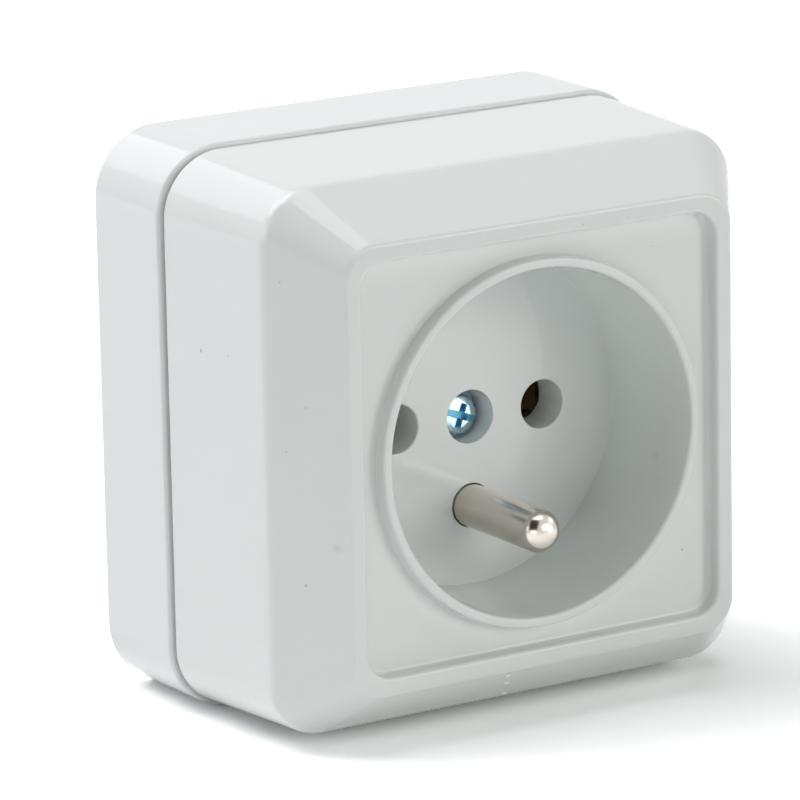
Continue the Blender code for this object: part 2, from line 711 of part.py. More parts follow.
def build():
    for thing in list(bpy.data.objects):
        bpy.data.objects.remove(thing, do_unlink=True)
    white = material("white_plastic", WHITE, 0.22, 0.0)
    white_box = material("white_plastic_box", WHITE, 0.24, 0.0)
    ivory = material("carrier_plastic", IVORY, 0.5, 0.0)
    brass = material("brass", BRASS, 0.35, 1.0)
    nickel = material("nickel_plate", NICKEL, 0.16, 1.0)
    zinc = material("zinc_plate", ZINC, 0.25, 1.0)
    steel = material("spring_steel", STEEL, 0.35, 1.0)

    rear_box(white_box)
    front_cover(white)
    carrier(ivory)
    earth_block_at = (0.0, EARTH_BLOCK_Z)
    for side, label in ((-1, "left"), (1, "right")):
        spot = (side * BLOCK_X, 0.0)
        clip(f"clip_{label}", side, brass)
        clip_spring(f"clip_spring_{label}", side, steel)
        terminal_block(f"terminal_{label}", spot, BLOCK_BACK, brass)
        washer(f"washer_{label}", spot, WASHER_BACK, zinc)
        slotted_screw(f"terminal_screw_{label}", spot, TERM_SEAT, TERM_HEAD_D, TERM_HEAD_H, TERM_SHANK_D,
                      TERM_SHANK_L, zinc)
        slotted_screw(f"carrier_screw_{label}", (side * BLOCK_X, -FIXING_DROP), FIXING_SEAT, FIXING_HEAD_D,
                      FIXING_HEAD_H, FIXING_SHANK_D, FIXING_SHANK_L, zinc)
    earth_pin(nickel)
    earth_strap(brass)
    terminal_block("earth_terminal", earth_block_at, EARTH_BLOCK_BACK, brass)
    earth_washer_back = EARTH_BLOCK_BACK + BLOCK_H + FIT_GAP
    washer("earth_washer", earth_block_at, earth_washer_back, zinc)
    slotted_screw("earth_screw", earth_block_at, earth_washer_back + WASHER_T + FIT_GAP, TERM_HEAD_D,
                  TERM_HEAD_H, TERM_SHANK_D, TERM_SHANK_L, zinc)
    cover_screw(zinc)
    cover_insert(brass)


build()
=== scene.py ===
# %% [markdown]
# # A surface-mounted power outlet
# The real outlet is two white mouldings: a shallow box on the wall and a cover whose deep round well takes the
# plug. A plated earth pin stands in the well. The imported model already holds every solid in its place. This
# notebook gives it the fine edges, the plastics, the metals and the studio that the solids don't have.
# Everything is in metres, +Z is up and the front faces -Y, so a depth of 20 mm is the plane y = -0.020.

# %% Load the frame
import json
import math

import bmesh
import bpy
import numpy as np
from mathutils import Matrix, Vector


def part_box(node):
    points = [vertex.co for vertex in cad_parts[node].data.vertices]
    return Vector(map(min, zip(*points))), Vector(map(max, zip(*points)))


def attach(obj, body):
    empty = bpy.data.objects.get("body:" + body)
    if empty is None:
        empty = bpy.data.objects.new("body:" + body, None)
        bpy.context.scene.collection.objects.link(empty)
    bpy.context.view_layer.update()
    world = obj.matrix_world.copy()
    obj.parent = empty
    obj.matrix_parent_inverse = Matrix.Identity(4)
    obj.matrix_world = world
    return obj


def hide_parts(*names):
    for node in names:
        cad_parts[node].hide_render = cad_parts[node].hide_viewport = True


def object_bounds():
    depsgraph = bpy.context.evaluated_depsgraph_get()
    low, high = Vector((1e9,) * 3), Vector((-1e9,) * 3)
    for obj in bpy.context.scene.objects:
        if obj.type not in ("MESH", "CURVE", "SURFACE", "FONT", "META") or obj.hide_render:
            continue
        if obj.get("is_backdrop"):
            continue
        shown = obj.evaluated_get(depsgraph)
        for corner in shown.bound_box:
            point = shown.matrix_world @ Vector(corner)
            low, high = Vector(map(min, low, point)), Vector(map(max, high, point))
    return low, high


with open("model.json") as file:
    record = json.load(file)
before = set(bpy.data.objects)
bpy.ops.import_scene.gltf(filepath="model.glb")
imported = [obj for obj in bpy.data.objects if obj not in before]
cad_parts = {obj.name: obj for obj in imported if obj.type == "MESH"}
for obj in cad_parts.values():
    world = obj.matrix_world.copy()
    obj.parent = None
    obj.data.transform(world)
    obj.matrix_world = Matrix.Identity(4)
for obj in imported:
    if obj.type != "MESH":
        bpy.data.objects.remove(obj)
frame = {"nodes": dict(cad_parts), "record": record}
cad_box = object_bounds()
print("solids:", len(frame["nodes"]), "box:", [round(v * 1000, 1) for corner in cad_box for v in corner])

# %% [markdown]
# ## The camera
# The photograph is a studio shot with a long lens, from the front left and a little above. Its edges were
# fitted to the outlet's own sizes, which gave the distance, the two angles, the roll and the focal length. The
# camera is made first, because every later choice is judged through it.

# %% Camera
LOOK_AZIMUTH = math.radians(32.741)
LOOK_DOWN = math.radians(14.212)
LOOK_ROLL = math.radians(-0.971)
LOOK_FROM = 0.65275
LOOK_AT = Vector((0.0, -0.025, 0.0))
SENSOR_WIDTH = 36.0
PICTURE_PIXELS = 800
FOCUS_PIXELS = 5946.8
RIGHT_SHIFT_PIXELS = 62.13
UP_SHIFT_PIXELS = 13.88

forward = Vector((
    math.sin(LOOK_AZIMUTH) * math.cos(LOOK_DOWN),
    math.cos(LOOK_AZIMUTH) * math.cos(LOOK_DOWN),
    -math.sin(LOOK_DOWN),
))
level = Vector((math.cos(LOOK_AZIMUTH), -math.sin(LOOK_AZIMUTH), 0.0))
raised = level.cross(forward)
right = level * math.cos(LOOK_ROLL) + raised * math.sin(LOOK_ROLL)
up = raised * math.cos(LOOK_ROLL) - level * math.sin(LOOK_ROLL)
place = LOOK_AT - forward * LOOK_FROM
aim = (forward * FOCUS_PIXELS - right * RIGHT_SHIFT_PIXELS + up * UP_SHIFT_PIXELS).normalized()
right = (right - aim * right.dot(aim)).normalized()
up = right.cross(aim)

camera_data = bpy.data.cameras.new("photo_camera")
camera_data.sensor_width = SENSOR_WIDTH
camera_data.lens = SENSOR_WIDTH * FOCUS_PIXELS / PICTURE_PIXELS
camera_data.clip_start = 0.01
camera_data.clip_end = 20.0
camera = bpy.data.objects.new("photo_camera", camera_data)
camera.matrix_world = Matrix.Translation(place) @ Matrix((right, up, -aim)).transposed().to_4x4()
bpy.context.scene.collection.objects.link(camera)
bpy.context.scene.camera = camera
print("lens in mm:", round(camera_data.lens, 1))

# %% [markdown]
# ## A small language for finishes
# A finish is a tree of shader nodes. Written as sums and products it stays readable, so one class wraps a
# socket and turns each Python operator into a Math node. A second class owns a tree, and its one method adds
# any other node from its type, its settings and its inputs. A finish is such a tree with a Principled shader.


# %% Sockets as values
class Value:
    """One output socket. Arithmetic on it adds Math nodes to the same tree."""

    def __init__(self, owner, socket):
        self.owner = owner
        self.socket = socket

    def maths(self, operation, *inputs):
        return self.owner.node("ShaderNodeMath", {"operation": operation}, dict(enumerate(inputs)))

    def __add__(self, other):
        return self.maths("ADD", self, other)

    __radd__ = __add__

    def __sub__(self, other):
        return self.maths("SUBTRACT", self, other)

    def __rsub__(self, other):
        return self.maths("SUBTRACT", other, self)

    def __mul__(self, other):
        return self.maths("MULTIPLY", self, other)

    __rmul__ = __mul__

    def __truediv__(self, other):
        return self.maths("DIVIDE", self, other)

    def __pow__(self, other):
        return self.maths("POWER", self, other)

    def __gt__(self, other):
        return self.maths("GREATER_THAN", self, other)


class Tree:
    """A node tree and the one way to add a node to it."""

    def __init__(self, tree):
        self.tree = tree

    def node(self, kind, settings=None, inputs=None, output=0):
        made = self.tree.nodes.new(kind)
        for name, value in (settings or {}).items():
            setattr(made, name, value)
        for name, value in (inputs or {}).items():
            self.feed(made.inputs[name], value)
        return Value(self, made.outputs[output])

    def feed(self, socket, value):
        if isinstance(value, Value):
            self.tree.links.new(value.socket, socket)
        else:
            socket.default_value = value


class Finish(Tree):
    """The material of one finish, with its tree and its Principled shader."""

    def __init__(self, name, **constants):
        self.material = bpy.data.materials.new(name)
        self.material.use_nodes = True
        super().__init__(self.material.node_tree)
        self.shader = self.tree.nodes["Principled BSDF"]
        self.set(**constants)

    def set(self, **values):
        for name, value in values.items():
            self.feed(self.shader.inputs[name.replace("_", " ")], value)

    def where(self, stretch=(1.0, 1.0, 1.0)):
        """The point on the piece, in metres, stretched along an axis where a pattern has a direction."""
        point = self.node("ShaderNodeTexCoord", None, None, "Object")
        return self.node("ShaderNodeMapping", None, {"Vector": point, "Scale": stretch})

    def noise(self, size, detail=2.0, stretch=(1.0, 1.0, 1.0)):
        """Clouds of about the given size in metres, from 0 to 1."""
        inputs = {"Vector": self.where(stretch), "Scale": 1 / size, "Detail": detail}
        return self.node("ShaderNodeTexNoise", None, inputs)

    def mix(self, amount, low, high):
        """From the colour low to the colour high."""
        low, high = (value if isinstance(value, Value) else (*value, 1.0) for value in (low, high))
        inputs = {"Factor": amount, 6: low, 7: high}
        return self.node("ShaderNodeMix", {"data_type": "RGBA"}, inputs, 2)

    def bump(self, height, depth):
        """A relief whose height runs from 0 to 1 over a depth in metres."""
        return self.node("ShaderNodeBump", None, {"Strength": 1.0, "Distance": depth, "Height": height})


# %% [markdown]
# ## White plastic
# The cover is injection-moulded in a polished tool. Such a face is never one colour: the melt leaves faint
# clouds, the polish varies a little and fine ripples bend the reflections. Each of these is one noise with its
# own size. The box comes from a plainer tool, so it is a shade duller. A few specks of dust and two faint round
# marks sit on the cover. Each is a named place, and a point is part of a speck where it is near enough to it.


# %% The two white mouldings
CLOUD = 0.024
PATCH = 0.009
RIPPLE = 0.006
GRAIN = 0.00035
RIPPLE_SHARE = 0.8
PATCH_GLOSS = 0.03
EDGE_WANDER = 0.3
DUST_EDGE = 0.3
DUST_DULLS = 0.4
MARK_STRENGTH = 0.35
DUST = (0.16, 0.16, 0.15)
MARK = (0.55, 0.56, 0.55)
COVER_LIGHT = (0.787, 0.824, 0.802)
COVER_SHADE = (0.768, 0.804, 0.783)
BOX_LIGHT = (0.790, 0.822, 0.806)
BOX_SHADE = (0.773, 0.804, 0.788)
# Each speck has its place, its reach and its strength, and each mark its place and its reach.
SPECKS = [
    ((-0.0308, -0.0213, 0.0109), 0.00028, 0.50),
    ((-0.0305, -0.0266, 0.0113), 0.00020, 0.30),
    ((-0.0307, -0.0230, 0.0099), 0.00014, 0.20),
    ((-0.0302, -0.0315, -0.0192), 0.00016, 0.20),
    ((-0.0274, -0.0373, 0.0073), 0.00016, 0.25),
    ((-0.0288, -0.0353, 0.0023), 0.00016, 0.25),
    ((-0.0290, -0.0351, 0.0207), 0.00018, 0.25),
    ((-0.0277, -0.0369, -0.0122), 0.00022, 0.35),
    ((0.0190, -0.0397, -0.0153), 0.00024, 0.30),
    ((0.0153, -0.0397, 0.0194), 0.00018, 0.20),
    ((0.0053, -0.0413, 0.0234), 0.00018, 0.25),
    ((0.0111, -0.0413, 0.0234), 0.00014, 0.20),
]
MARKS = [((-0.0256, -0.0399, -0.0078), 0.0007), ((0.0183, -0.0356, -0.0053), 0.0009)]


def near(made, spot, reach):
    """1 at a spot, falling to 0 at its reach, with an uneven edge."""
    away = made.node("ShaderNodeVectorMath", {"operation": "DISTANCE"}, {0: made.where(), 1: spot}, "Value")
    uneven = away * (1.0 - EDGE_WANDER + 2 * EDGE_WANDER * made.noise(reach, 1.0))
    return made.node("ShaderNodeClamp", None, {"Value": 1.0 - uneven / reach})


def white_plastic(name, light, shade, gloss, relief, specks=(), marks=()):
    made = Finish(name, IOR=1.46)
    tone = made.mix(made.noise(CLOUD), shade, light)
    dusty = 0.0
    for spot, reach, strength in specks:
        dusty = (near(made, spot, reach) > DUST_EDGE) * strength + dusty
    for spot, reach in marks:
        tone = made.mix(near(made, spot, reach) * MARK_STRENGTH, tone, MARK)
    if specks:
        tone = made.mix(dusty, tone, DUST)
    polish = made.noise(PATCH, 3.0) * PATCH_GLOSS
    waves = made.noise(RIPPLE, 1.0) * RIPPLE_SHARE + made.noise(GRAIN, 1.0) * (1.0 - RIPPLE_SHARE)
    made.set(Base_Color=tone, Roughness=gloss + polish + dusty * DUST_DULLS, Normal=made.bump(waves, relief))
    return made.material


cover_white = white_plastic("cover_white", COVER_LIGHT, COVER_SHADE, 0.055, 0.000008, SPECKS, MARKS)
box_white = white_plastic("box_white", BOX_LIGHT, BOX_SHADE, 0.075, 0.000010)
print("white plastics:", cover_white.name, box_white.name, "specks:", len(SPECKS))

# %% [markdown]
# ## Metals
# The earth pin is turned brass under nickel: a warm grey with fine rings round it. A noise that changes fast
# along the pin and slowly across it gives them. The screws are zinc-plated and bluish. The contacts are bare
# brass with darker clouds, all darkened as painted shade of the pin holes, and their springs are drawn steel.


# %% Plated and bare metals
STAIN = 0.003
GRAIN_GLOSS = 0.10


def metal(name, bright, dull, rough, stretch, grain, relief):
    """Stains between a bright and a dull colour, and a fine relief that may run one way."""
    made = Finish(name, Metallic=1.0)
    drawn = made.noise(grain, 3.0, stretch)
    made.set(Base_Color=made.mix(made.noise(STAIN, 3.0), dull, bright), Roughness=rough + drawn * GRAIN_GLOSS)
    made.set(Normal=made.bump(drawn, relief))
    return made.material


nickel = metal("nickel", bright=(0.68, 0.62, 0.57), dull=(0.58, 0.53, 0.47), rough=0.16,
               stretch=(0.15, 1.0, 0.15), grain=0.0004, relief=0.000002)
zinc = metal("zinc", bright=(0.60, 0.72, 0.80), dull=(0.46, 0.58, 0.67), rough=0.22,
             stretch=(1.0, 1.0, 1.0), grain=0.0006, relief=0.000004)
# The brass colours are darkened as painted shade of the pin holes that the contacts sit in.
brass = metal("brass", bright=(0.62, 0.50, 0.28), dull=(0.36, 0.28, 0.16), rough=0.28,
              stretch=(1.0, 0.2, 1.0), grain=0.0005, relief=0.000004)
spring_steel = metal("spring_steel", bright=(0.58, 0.59, 0.61), dull=(0.42, 0.43, 0.46), rough=0.26,
                     stretch=(1.0, 0.1, 1.0), grain=0.0004, relief=0.000003)
print("metals:", nickel.name, zinc.name, brass.name, spring_steel.name)

# %% [markdown]
# ## Carrier plastic
# The insulating carrier inside is a filled thermoset. It is duller and yellower than the cover, with a fine
# grain all over.

# %% Carrier plastic
IVORY_DARK = (0.60, 0.58, 0.52)
IVORY_LIGHT = (0.72, 0.70, 0.64)
FILLER_SIZE = 0.0008
FILLER_RELIEF = 0.00002

carrier_finish = Finish("carrier_ivory", IOR=1.5)
filler = carrier_finish.noise(FILLER_SIZE, 3.0)
carrier_finish.set(Base_Color=carrier_finish.mix(filler, IVORY_DARK, IVORY_LIGHT))
carrier_finish.set(Roughness=0.48 + filler * 0.2, Normal=carrier_finish.bump(filler, FILLER_RELIEF))
carrier_ivory = carrier_finish.material
print("carrier:", carrier_ivory.name)

# %% [markdown]
# ## Profiles with real edges
# No edge of a moulding is sharp. A section is written here as its corners, each with its own radius, and one
# function puts a true arc at each of them. The same section then runs round a rounded square or a circle.


# %% Paths, loops and skins
ARC_STEPS = 8
CORNER_STEPS = 20
SIDE_STEPS = 20
SAME_POINT = 1e-7


def filleted(corners):
    """Path through (a, b, radius) corners, with an arc of that radius at each inner corner."""
    path = []
    for i, (a, b, radius) in enumerate(corners):
        here = Vector((a, b))
        if radius == 0:
            path.append(here)
            continue
        back = (Vector(corners[i - 1][:2]) - here).normalized()
        ahead = (Vector(corners[i + 1][:2]) - here).normalized()
        half_angle = back.angle(ahead) / 2
        centre = here + (back + ahead).normalized() * radius / math.sin(half_angle)
        start = here + back * radius / math.tan(half_angle) - centre
        end = here + ahead * radius / math.tan(half_angle) - centre
        sweep = math.copysign(math.pi - 2 * half_angle, start.cross(end))
        turns = [Matrix.Rotation(sweep * k / ARC_STEPS, 2) for k in range(ARC_STEPS + 1)]
        path += [centre + turn @ start for turn in turns]
    return path


def square_loop(half, radius, depth):
    """Rounded square round the Y axis at one depth."""
    inner = half - radius
    quarter = [(inner + radius * math.cos(t), inner + radius * math.sin(t))
               for t in np.linspace(0, math.pi / 2, CORNER_STEPS + 1)]
    quarter += [(inner - 2 * inner * k / (SIDE_STEPS + 1), half) for k in range(1, SIDE_STEPS + 1)]
    turns = [(1, 0), (0, 1), (-1, 0), (0, -1)]
    return [(c * x - s * z, -depth, s * x + c * z) for c, s in turns for x, z in quarter]


def circle_loop(radius, depth):
    """Circle with as many points as a square loop, lined up with its corners."""
    count = 4 * (CORNER_STEPS + 1 + SIDE_STEPS)
    turns = [math.pi / 4 + (k - CORNER_STEPS / 2) * math.tau / count for k in range(count)]
    return [(radius * math.cos(t), -depth, radius * math.sin(t)) for t in turns]


def rounded_rectangle(width, height, radius, steps=10):
    """Flat outline in (x, z) round the middle."""
    outline = []
    for sx, sz, first in ((1, 1, 0), (-1, 1, 1), (-1, -1, 2), (1, -1, 3)):
        for t in np.linspace(first, first + 1, steps + 1) * math.pi / 2:
            outline.append((sx * (width / 2 - radius) + radius * math.cos(t),
                            sz * (height / 2 - radius) + radius * math.sin(t)))
    return outline


def linked(name, mesh):
    made = bpy.data.objects.new(name, mesh)
    bpy.context.scene.collection.objects.link(made)
    return made


def closed(name, points, faces):
    """Closed body from points and faces, with its normals turned outward."""
    mesh = bpy.data.meshes.new(name)
    mesh.from_pydata(points, [], faces)
    work = bmesh.new()
    work.from_mesh(mesh)
    bmesh.ops.remove_doubles(work, verts=work.verts, dist=SAME_POINT)
    bmesh.ops.recalc_face_normals(work, faces=work.faces)
    work.to_mesh(mesh)
    work.free()
    return linked(name, mesh)


def skin(name, loops):
    """Closed body through a chain of loops, capped at both ends."""
    count = len(loops[0])
    points = [point for loop in loops for point in loop]
    faces = [list(range(count)), list(range(len(points) - count, len(points)))]
    for row in range(len(loops) - 1):
        for k in range(count):
            a, b = row * count + k, row * count + (k + 1) % count
            faces.append([a, b, b + count, a + count])
    return closed(name, points, faces)


def prism(name, outline, back, front, at=(0.0, 0.0)):
    """Flat outline in (x, z), extruded between two depths."""
    count = len(outline)
    points = [(x + at[0], -depth, z + at[1]) for depth in (back, front) for x, z in outline]
    faces = [list(range(count)), list(range(count, 2 * count))]
    faces += [[k, (k + 1) % count, (k + 1) % count + count, k + count] for k in range(count)]
    return closed(name, points, faces)


def turned(name, profile, at=(0.0, 0.0), steps=72):
    """Solid of revolution about a line along Y through (x, z), from (radius, depth) points."""
    work = bmesh.new()
    verts = [work.verts.new((radius, -depth, 0.0)) for radius, depth in profile]
    edges = [work.edges.new(pair) for pair in zip(verts, verts[1:])]
    if profile[0][0] > 0:
        edges.append(work.edges.new((verts[-1], verts[0])))
    bmesh.ops.spin(work, geom=verts + edges, axis=(0, 1, 0), cent=(0, 0, 0), steps=steps, angle=math.tau)
    bmesh.ops.remove_doubles(work, verts=work.verts, dist=SAME_POINT)
    bmesh.ops.recalc_face_normals(work, faces=work.faces)
    bmesh.ops.translate(work, verts=work.verts, vec=(at[0], 0.0, at[1]))
    mesh = bpy.data.meshes.new(name)
    work.to_mesh(mesh)
    work.free()
    return linked(name, mesh)


def rod(name, radius, back, front, at=(0.0, 0.0)):
    return turned(name, [(0, back), (radius, back), (radius, front), (0, front)], at)


print("points in a loop:", len(circle_loop(1.0, 0.0)))

# %% [markdown]
# Holes, posts and tubes are joined or cut by Booleans, and then the modifiers become plain mesh. At the end of
# its making each piece is shaded smooth up to an angle, so that its arcs look round and its flats stay flat,
# and takes over the place of its solid.


# %% Booleans and the last steps of a piece
def plain(piece, spare=()):
    """Replace a piece's mesh by the result of its modifiers, and throw the spare objects away."""
    seen = piece.evaluated_get(bpy.context.evaluated_depsgraph_get())
    mesh = bpy.data.meshes.new_from_object(seen)
    piece.modifiers.clear()
    piece.data = mesh
    for tool in spare:
        bpy.data.objects.remove(tool, do_unlink=True)
    return piece


def carved(piece, added, removed):
    """The piece with some solids joined to it and others cut out, as one plain mesh."""
    for operation, tools in (("UNION", added), ("DIFFERENCE", removed)):
        if not tools:
            continue
        group = bpy.data.collections.new(f"{piece.name}_{operation.lower()}")
        for tool in tools:
            group.objects.link(tool)
        step = piece.modifiers.new(operation.lower(), "BOOLEAN")
        step.operation = operation
        step.solver = "EXACT"
        step.operand_type = "COLLECTION"
        step.collection = group
    return plain(piece, [*added, *removed])


def finished(piece, finish, slot, *nodes, angle=32):
    """Smooth shading that keeps flats flat, the finish, and the piece's place in the frame."""
    mesh = piece.data
    mesh.materials.clear()
    mesh.materials.append(finish)
    mesh.shade_smooth()
    mesh.set_sharp_from_angle(angle=math.radians(angle))
    weigh = piece.modifiers.new("flat_faces_stay_flat", "WEIGHTED_NORMAL")
    weigh.keep_sharp = True
    weigh.weight = 100
    if nodes:
        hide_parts(*nodes)
    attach(piece, "root")
    print(piece.name, "faces:", len(mesh.polygons))


def middle(node):
    """Centre of a solid's box."""
    low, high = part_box(node)
    return (low + high) / 2


# %% [markdown]
# ## The rear box
# The box is a tray with rounded corners. Its rear edge has a thin chamfer that catches the light as a pale
# line, and its front lip is rounded where it stands proud of the cover. A tongue rises inside the lip and
# enters the cover. One section, run round the square, gives all of this in a single skin.

# %% Rear box
BOX_HALF = 0.0317
LIP_HALF = 0.0316
BOX_D = 0.0142
BOX_R = 0.0077
INNER_R = 0.002
BOX_WALL = 0.0021
BACK_T = 0.0020
CHAMFER_X = 0.00045
CHAMFER_Y = 0.0009
LIP_FILLET = 0.00045
SOFT_EDGE = 0.0003
LEDGE_T = 0.0020
TONGUE_HALF = 0.0288
TONGUE_T = 0.0012
TONGUE_END = BOX_D + 0.0024

box_section = filleted([
    (BOX_HALF - CHAMFER_X, 0.0, 0),
    (BOX_HALF, CHAMFER_Y, SOFT_EDGE),
    (LIP_HALF, BOX_D, LIP_FILLET),
    (TONGUE_HALF, BOX_D, 0),
    (TONGUE_HALF, TONGUE_END, SOFT_EDGE),
    (TONGUE_HALF - TONGUE_T, TONGUE_END, SOFT_EDGE),
    (TONGUE_HALF - TONGUE_T, BOX_D - LEDGE_T, 0),
    (BOX_HALF - BOX_WALL, BOX_D - LEDGE_T, 0),
    (BOX_HALF - BOX_WALL, BACK_T, 0),
])
box_loops = [square_loop(half, max(BOX_R - BOX_HALF + half, INNER_R), depth) for half, depth in box_section]
box_shell = skin("box_shell", box_loops)

# %% [markdown]
# The box also has two posts for the carrier's screws, a rib under the carrier, two slots for the wall screws
# and a hole for the cable. The screws' places are read from the solids, so the posts can't miss them.

# %% Posts, rib, slots and cable hole of the box
RIB_W = 0.030
RIB_T = 0.0014
RIB_Z = 0.0112
CABLE_R = 0.0065
CABLE_Z = 0.020
POST_R = 0.00345
POST_GAP = 0.0003
POST_END = -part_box("carrier")[1].y - POST_GAP
PILOT_R = 0.00165
PILOT_START = 0.0012
PILOT_END = 0.010
SLOT_W = 0.0086
SLOT_H = 0.0046
SLOT_R = 0.00229
SLOT_X = 0.019
SLOT_Z = 0.019

through = {"back": -BACK_T, "front": 2 * BACK_T}
rooted = {"back": BACK_T / 2, "front": POST_END}
box_added = [prism("rib", rounded_rectangle(RIB_W, RIB_T, 0.0002, 3), **rooted, at=(0.0, RIB_Z))]
box_removed = [rod("cable_hole", CABLE_R, **through, at=(0.0, CABLE_Z))]
for side, node in ((-1, "carrier_screw_left"), (1, "carrier_screw_right")):
    post = middle(node)
    slot = rounded_rectangle(SLOT_W, SLOT_H, SLOT_R)
    box_added.append(rod(f"post_{side}", POST_R, **rooted, at=(post.x, post.z)))
    box_removed.append(rod(f"pilot_{side}", PILOT_R, PILOT_START, PILOT_END, (post.x, post.z)))
    box_removed.append(prism(f"slot_{side}", slot, **through, at=(side * SLOT_X, SLOT_Z)))
carved(box_shell, box_added, box_removed)
finished(box_shell, box_white, "box_plastic", "rear_box")

# %% [markdown]
# ## The cover
# The cover is one moulding and the main form of the outlet. Its section starts at the seam behind, climbs the
# drafted side, rolls over into the wide bevel, crosses the flat rim, steps down to the sunk panel, rises over
# the bead and drops into the well. Up to the panel the section runs round a rounded square, and from there
# round a circle, so a single skin carries the whole form with no seam in its reflections.

# %% Cover
COVER_HALF = 0.0311
SHOULDER_HALF = 0.03015
RIM_HALF = 0.02465
PANEL_HALF = 0.02275
CORNER_RADII = [0.0029, 0.0038, 0.0062, 0.0072]
COVER_BACK = 0.0145
SHOULDER_D = 0.0334
BODY_D = 0.0413
PANEL_D = 0.0397
SEAM_T = 0.001
SHOULDER_FILLET = 0.0022
RIM_FILLET = 0.0007
PANEL_EDGE_FILLET = 0.0004
PANEL_ROOT_FILLET = 0.0005
WELL_R = 0.0193
FLOOR_R = 0.0189
FLOOR_D = 0.0266
BEAD_W = 0.0011
BEAD_FLARE = 0.00008
BEAD_FILLET = 0.0004
BEAD_ROOT_FILLET = 0.00018
WELL_FILLET = 0.00012
# Each inner square has its half width, its depth and its corner radius.
HOLLOW_SQUARES = [(0.0291, COVER_BACK, 0.0052), (0.02824, 0.03245, 0.0042), (0.02463, 0.0377, 0.0018)]
CUP_R = 0.0211
CUP_TOP = 0.0377
CUP_DRAFT = 0.0004
FLOOR_BACK = 0.0246

outer = filleted([
    (COVER_HALF - SEAM_T, COVER_BACK, 0),
    (COVER_HALF, COVER_BACK, SOFT_EDGE),
    (SHOULDER_HALF, SHOULDER_D, SHOULDER_FILLET),
    (RIM_HALF, BODY_D, RIM_FILLET),
    (PANEL_HALF, BODY_D, PANEL_EDGE_FILLET),
    (PANEL_HALF, PANEL_D, PANEL_ROOT_FILLET),
    (WELL_R, PANEL_D, 0),
])[:-1]
well = filleted([
    (PANEL_HALF, PANEL_D, 0),
    (WELL_R + BEAD_W + BEAD_FLARE, PANEL_D, BEAD_ROOT_FILLET),
    (WELL_R + BEAD_W, BODY_D, BEAD_FILLET),
    (WELL_R, BODY_D, BEAD_FILLET),
    (FLOOR_R, FLOOR_D, WELL_FILLET),
    (0.0, FLOOR_D, 0),
])[1:-1]
halves = [PANEL_HALF, RIM_HALF, SHOULDER_HALF, COVER_HALF]
loops = [square_loop(half, float(np.interp(half, halves, CORNER_RADII)), depth) for half, depth in outer]
loops += [circle_loop(radius, depth) for radius, depth in well]
hollow = [square_loop(half, radius, depth) for half, depth, radius in HOLLOW_SQUARES]
hollow += [circle_loop(CUP_R, CUP_TOP), circle_loop(CUP_R - CUP_DRAFT, FLOOR_BACK)]
cover_shell = skin("cover_shell", loops[::-1] + hollow)

# %% [markdown]
# The floor of the well is then pierced: two pin holes 19 mm apart, the stepped recess of the cover screw
# between them and the hole that the earth pin comes through. A moulded hole has a small rounded mouth, so each
# cutter is a turned solid that flares at the floor.

# %% Holes in the floor
PIN_R = 0.002375
EARTH = middle("earth_pin")
EARTH_GAP = 0.0001
EARTH_MOUTH = 0.00008
EARTH_COLLAR_R = 0.003975
PIN_X = 0.0095
PIN_HOLE_R = 0.00275
PIN_MOUTH = 0.0002
COLLAR_R = 0.00405
COLLAR_END = 0.0219
RECESS_R = 0.00300
RECESS_MOUTH = 0.0001
SCREW_SEAT = 0.02255
SHANK_HOLE_R = 0.0020
SHANK_HOLE_END = 0.0230
TUBE_R = 0.00435
TUBE_END = 0.02115
MID_FLOOR = (FLOOR_D + FLOOR_BACK) / 2
CUT_BACK = 0.019
CUT_FRONT = 0.029
CUT_WIDER = 0.0004
CUT_ABOVE = 0.0002


def mouth(radius, back, flare):
    """Section of a cutter whose mouth at the floor is rounded by flare."""
    rounding = [(radius + flare * (1 - math.cos(t)), FLOOR_D - flare + flare * math.sin(t))
                for t in np.linspace(0, math.pi / 2, 6)]
    edge = radius + flare + CUT_WIDER
    above = [(edge, FLOOR_D + CUT_ABOVE), (edge, CUT_FRONT), (0.0, CUT_FRONT)]
    return [(0.0, back), (radius, back), *rounding, *above]


cover_added = [
    rod("earth_collar", EARTH_COLLAR_R, COLLAR_END, MID_FLOOR, (EARTH.x, EARTH.z)),
    rod("screw_tube", TUBE_R, TUBE_END, MID_FLOOR),
]
cover_removed = [
    turned("earth_hole", mouth(PIN_R + EARTH_GAP, CUT_BACK, EARTH_MOUTH), (EARTH.x, EARTH.z)),
    turned("screw_recess", mouth(RECESS_R, SCREW_SEAT, RECESS_MOUTH)),
    rod("shank_hole", SHANK_HOLE_R, CUT_BACK, SHANK_HOLE_END),
]
for side in (-1, 1):
    pin_place = (side * PIN_X, 0.0)
    cover_added.append(rod(f"collar_{side}", COLLAR_R, COLLAR_END, MID_FLOOR, pin_place))
    cover_removed.append(turned(f"pin_hole_{side}", mouth(PIN_HOLE_R, CUT_BACK, PIN_MOUTH), pin_place))
carved(cover_shell, cover_added, cover_removed)
finished(cover_shell, cover_white, "cover_plastic", "front_cover")

# %% [markdown]
# ## Pieces by rule
# What repeats is made by Geometry Nodes. This class is a tree for geometry, written with the same sums and
# products as a finish. Its sizes are named inputs, and what it makes is turned into a plain mesh at once.


